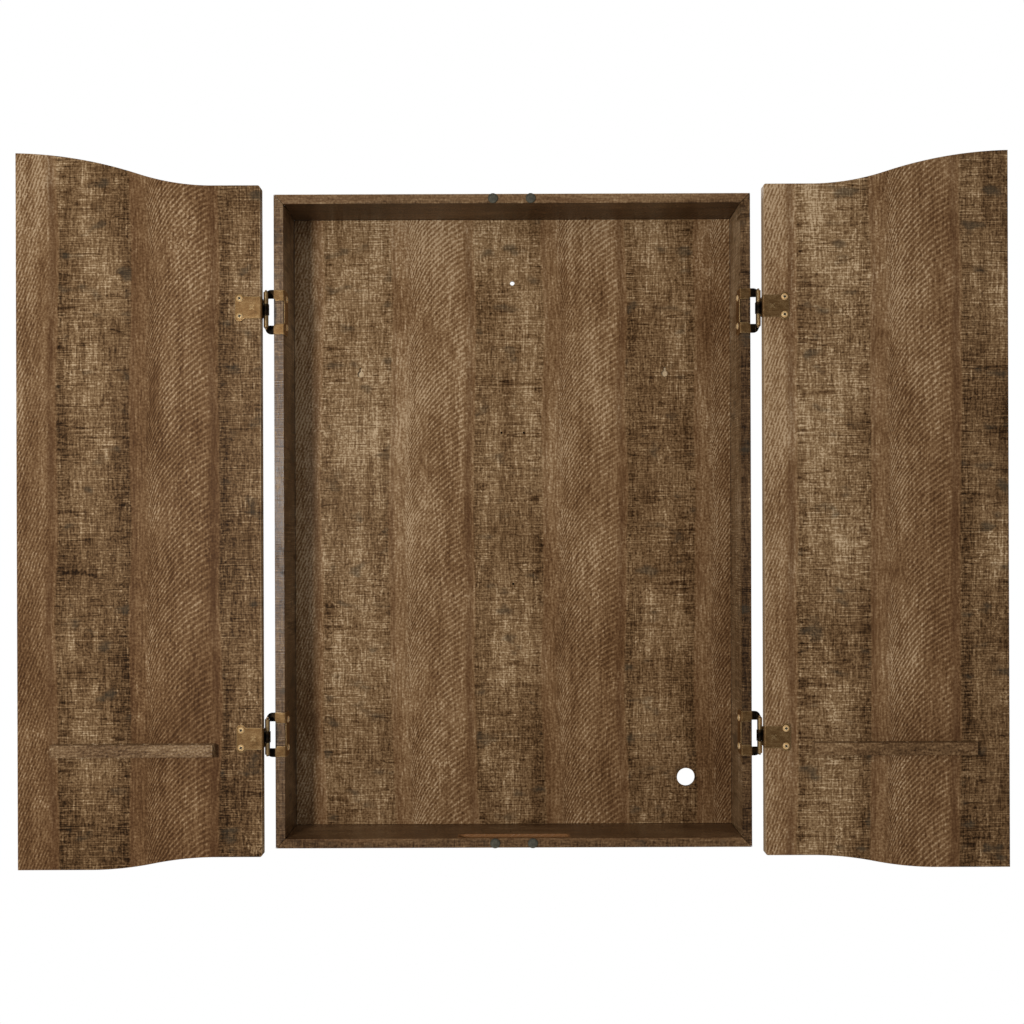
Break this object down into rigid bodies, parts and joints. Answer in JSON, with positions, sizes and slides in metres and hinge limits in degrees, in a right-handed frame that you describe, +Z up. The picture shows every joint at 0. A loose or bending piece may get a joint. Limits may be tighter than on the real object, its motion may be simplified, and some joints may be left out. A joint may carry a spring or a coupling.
{
  "type": "dartboard cabinet",
  "caption": "Wall-hung dartboard cabinet in a rustic sawn-oak finish, with scalloped doors that swing fully open on brass wrap hinges, dart racks and a pen groove.",
  "frame": {"origin": "on the wall plane, at the centre of the upper hanging rail's rear face, 616 mm above the cabinet's underside", "axes": "+X to the viewer's right, +Y into the wall, +Z up"},
  "size_m": [1.2364, 0.1363, 0.8935],
  "materials": {
    "rustic_laminate": "satin printed laminate, rustic sawn oak",
    "raw_board": "unfinished fibreboard",
    "antique_brass": "brushed antique brass plating",
    "screw_brass": "bright brass plating",
    "bumper_rubber": "matt dark grey"
  },
  "bodies": {
    "cabinet": {"left_side_panel": "rustic_laminate", "right_side_panel": "rustic_laminate", "top_panel": "rustic_laminate", "bottom_panel": "rustic_laminate", "back_panel": "rustic_laminate", "upper_hanging_rail": "raw_board", "lower_rail": "raw_board", "board_mounting_block": "raw_board", "top_left_bumper": "bumper_rubber", "top_right_bumper": "bumper_rubber", "bottom_left_bumper": "bumper_rubber", "bottom_right_bumper": "bumper_rubber", "left_upper_hinge_frame_wing": "antique_brass", "left_upper_hinge_pin": "antique_brass", "left_upper_hinge_top_wall_screw": "screw_brass", "left_upper_hinge_bottom_wall_screw": "screw_brass", "left_lower_hinge_frame_wing": "antique_brass", "left_lower_hinge_pin": "antique_brass", "left_lower_hinge_top_wall_screw": "screw_brass", "left_lower_hinge_bottom_wall_screw": "screw_brass", "right_upper_hinge_frame_wing": "antique_brass", "right_upper_hinge_pin": "antique_brass", "right_upper_hinge_top_wall_screw": "screw_brass", "right_upper_hinge_bottom_wall_screw": "screw_brass", "right_lower_hinge_frame_wing": "antique_brass", "right_lower_hinge_pin": "antique_brass", "right_lower_hinge_top_wall_screw": "screw_brass", "right_lower_hinge_bottom_wall_screw": "screw_brass"},
    "left_door": {"left_door": "rustic_laminate", "left_dart_rack": "rustic_laminate", "left_rack_inner_dowel": "raw_board", "left_rack_outer_dowel": "raw_board", "left_upper_hinge_door_wing": "antique_brass", "left_upper_hinge_top_door_screw": "screw_brass", "left_upper_hinge_bottom_door_screw": "screw_brass", "left_lower_hinge_door_wing": "antique_brass", "left_lower_hinge_top_door_screw": "screw_brass", "left_lower_hinge_bottom_door_screw": "screw_brass"},
    "right_door": {"right_door": "rustic_laminate", "right_dart_rack": "rustic_laminate", "right_rack_inner_dowel": "raw_board", "right_rack_outer_dowel": "raw_board", "right_upper_hinge_door_wing": "antique_brass", "right_upper_hinge_top_door_screw": "screw_brass", "right_upper_hinge_bottom_door_screw": "screw_brass", "right_lower_hinge_door_wing": "antique_brass", "right_lower_hinge_top_door_screw": "screw_brass", "right_lower_hinge_bottom_door_screw": "screw_brass"}
  },
  "joints": [
    {"name": "left_door_swing", "type": "hinge", "parent": "cabinet", "child": "left_door", "pos_m": [-0.3095, -0.1085, 0], "axis": [0, 0, 1], "range_deg": [0, 180]},
    {"name": "right_door_swing", "type": "hinge", "parent": "cabinet", "child": "right_door", "pos_m": [0.3095, -0.1085, 0], "axis": [0, 0, -1], "range_deg": [0, 180]}
  ]
}
